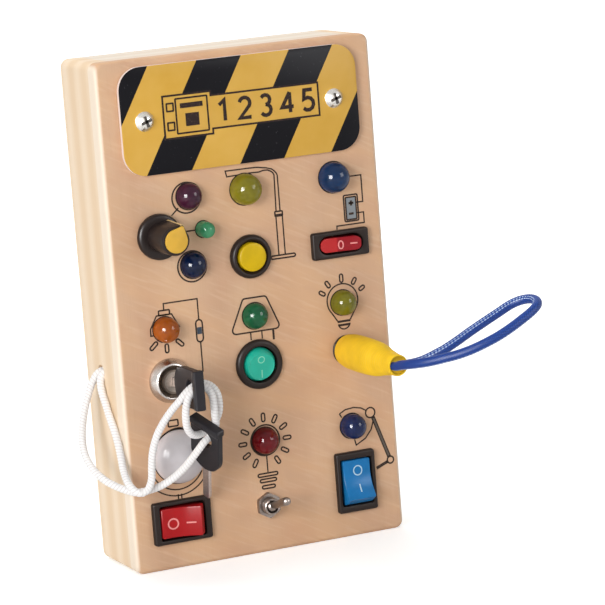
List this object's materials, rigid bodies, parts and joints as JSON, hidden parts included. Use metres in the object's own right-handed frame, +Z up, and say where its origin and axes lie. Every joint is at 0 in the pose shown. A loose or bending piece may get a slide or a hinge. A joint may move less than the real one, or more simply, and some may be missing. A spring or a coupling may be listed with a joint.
{
  "type": "wooden busy board",
  "caption": "Upright wooden busy board with rocker, push, toggle and selector switches, a key lock, a plug on a cord, small lamps and a battery case",
  "frame": {"origin": "middle of the face that the board stands on, under the middle of its 32 mm depth", "axes": "+X to the right as seen from the front, +Y from the front panel to the back, +Z up"},
  "size_m": [0.1423, 0.103, 0.176],
  "materials": {
    "wood_panel": "bare birch plywood face, fine satin varnish",
    "wood_rail": "pale pine with straight grain, sanded smooth",
    "wood_back": "birch plywood sheet, sanded",
    "hazard_plastic": "yellow sheet with black slanted stripes, satin",
    "black_plastic": "satin black moulding",
    "key_plastic": "dark satin key head",
    "yellow_plastic": "glossy yellow",
    "plug_rubber": "soft yellow sleeve, satin",
    "red_plastic": "glossy red, printed white marks",
    "blue_plastic": "glossy blue, printed white marks",
    "mint_plastic": "translucent sea green",
    "door_plastic": "ivory sheet",
    "purple_lens": "translucent purple epoxy",
    "green_lens": "translucent green epoxy",
    "navy_lens": "translucent dark blue epoxy",
    "olive_lens": "translucent yellow-green epoxy",
    "blue_lens": "translucent blue epoxy",
    "orange_lens": "translucent orange epoxy",
    "white_lens": "milky white diffuser",
    "red_lens": "translucent dark red epoxy",
    "steel": "plain plated steel",
    "chrome": "bright chrome plate",
    "core_zinc": "cast zinc, dull",
    "nickel": "nickel plate",
    "tinned_wire": "tinned wire",
    "brass": "plain brass tag",
    "blue_braid": "braided elastic with a white tracer",
    "white_braid": "braided cotton",
    "cell_jacket": "plain green sleeve",
    "wire_pvc": "PVC insulation"
  },
  "bodies": {
    "case": {"front_panel": "wood_panel", "rail_left": "wood_rail", "rail_right": "wood_rail", "rail_top": "wood_rail", "rail_bottom": "wood_rail", "back_panel": "wood_back", "back_screws": "steel", "hazard_plate": "hazard_plastic", "hazard_plate_screws": "steel", "lamp_purple": "purple_lens", "lamp_small_green": "green_lens", "lamp_navy": "navy_lens", "lamp_street": "olive_lens", "lamp_battery": "blue_lens", "lamp_orange": "orange_lens", "lamp_table": "green_lens", "lamp_bulb": "olive_lens", "lamp_globe": "white_lens", "lamp_sun": "red_lens", "lamp_desk": "navy_lens", "lamp_leads": "tinned_wire", "selector_switch": "black_plastic", "push_housing": "black_plastic", "push_spring": "steel", "slim_frame": "black_plastic", "lock_housing": "chrome", "round_frame": "black_plastic", "jack_socket": "black_plastic", "red_frame": "black_plastic", "blue_frame": "black_plastic", "toggle_housing": "steel", "toggle_nut": "chrome", "rear_nuts": "steel", "terminals": "brass", "key_cord_hanging": "white_braid", "battery_holder": "black_plastic", "battery_contacts": "nickel", "cells": "cell_jacket", "wires": "wire_pvc"},
    "selector": {"selector_shaft": "steel", "selector_knob": "black_plastic", "selector_pointer": "yellow_plastic"},
    "button": {"push_cap": "yellow_plastic"},
    "slim": {"slim_rocker": "red_plastic"},
    "round": {"round_rocker": "mint_plastic"},
    "red": {"red_rocker": "red_plastic"},
    "blue": {"blue_rocker": "blue_plastic"},
    "toggle": {"toggle_lever": "chrome"},
    "lock": {"lock_core": "core_zinc"},
    "tether": {"spare_key_blade": "nickel", "spare_key_head": "key_plastic", "key_cord_wrap": "white_braid"},
    "key": {"key_blade": "nickel", "key_head": "key_plastic"},
    "plug": {"plug_pin": "nickel", "plug_body": "plug_rubber", "blue_cord": "blue_braid"},
    "door": {"battery_door": "door_plastic", "battery_door_screw": "steel"}
  },
  "joints": [
    {"name": "selector_turn", "type": "hinge", "parent": "case", "child": "selector", "pos_m": [-0.0331, -0.016, 0.1155], "axis": [0, 1, 0], "range_deg": [-30, 105]},
    {"name": "push_press", "type": "slide", "parent": "case", "child": "button", "axis": [0, 1, 0], "range_m": [0, 0.002], "stiffness_N_per_m": 300, "springref_m": -0.001, "deforming": ["push_spring"]},
    {"name": "slim_rock", "type": "hinge", "parent": "case", "child": "slim", "pos_m": [0.0339, -0.0156, 0.1043], "axis": [0, 0, 1], "range_deg": [0, 16]},
    {"name": "round_rock", "type": "hinge", "parent": "case", "child": "round", "pos_m": [0, -0.0156, 0.0666], "axis": [-1, 0, 0], "range_deg": [0, 24]},
    {"name": "red_rock", "type": "hinge", "parent": "case", "child": "red", "pos_m": [-0.0334, -0.0156, 0.0168], "axis": [0, 0, 1], "range_deg": [0, 32]},
    {"name": "blue_rock", "type": "hinge", "parent": "case", "child": "blue", "pos_m": [0.0332, -0.0156, 0.0198], "axis": [1, 0, 0], "range_deg": [0, 32]},
    {"name": "toggle_flip", "type": "hinge", "parent": "case", "child": "toggle", "pos_m": [-0.0008, -0.019, 0.0168], "axis": [1, 0, 0], "range_deg": [0, 34]},
    {"name": "key_pull", "type": "slide", "parent": "case", "child": "tether", "axis": [0, -1, 0], "range_m": [0, 0.02], "deforming": ["key_cord_hanging"]},
    {"name": "key_turn", "type": "hinge", "parent": "tether", "child": "key", "pos_m": [-0.0332, -0.016, 0.0658], "axis": [0, 1, 0], "range_deg": [0, 90], "deforming": ["key_cord_wrap"]},
    {"name": "lock_turn", "type": "hinge", "parent": "case", "child": "lock", "pos_m": [-0.0332, -0.016, 0.0658], "axis": [0, 1, 0], "range_deg": [0, 90]},
    {"name": "plug_pull", "type": "slide", "parent": "case", "child": "plug", "axis": [0, -1, 0], "range_m": [0, 0.02]},
    {"name": "battery_door_off", "type": "slide", "parent": "case", "child": "door", "axis": [0, 1, 0], "range_m": [0, 0.025]}
  ],
  "couplings": [
    {"joint": "lock_turn", "follows": "key_turn", "ratio": 1}
  ]
}
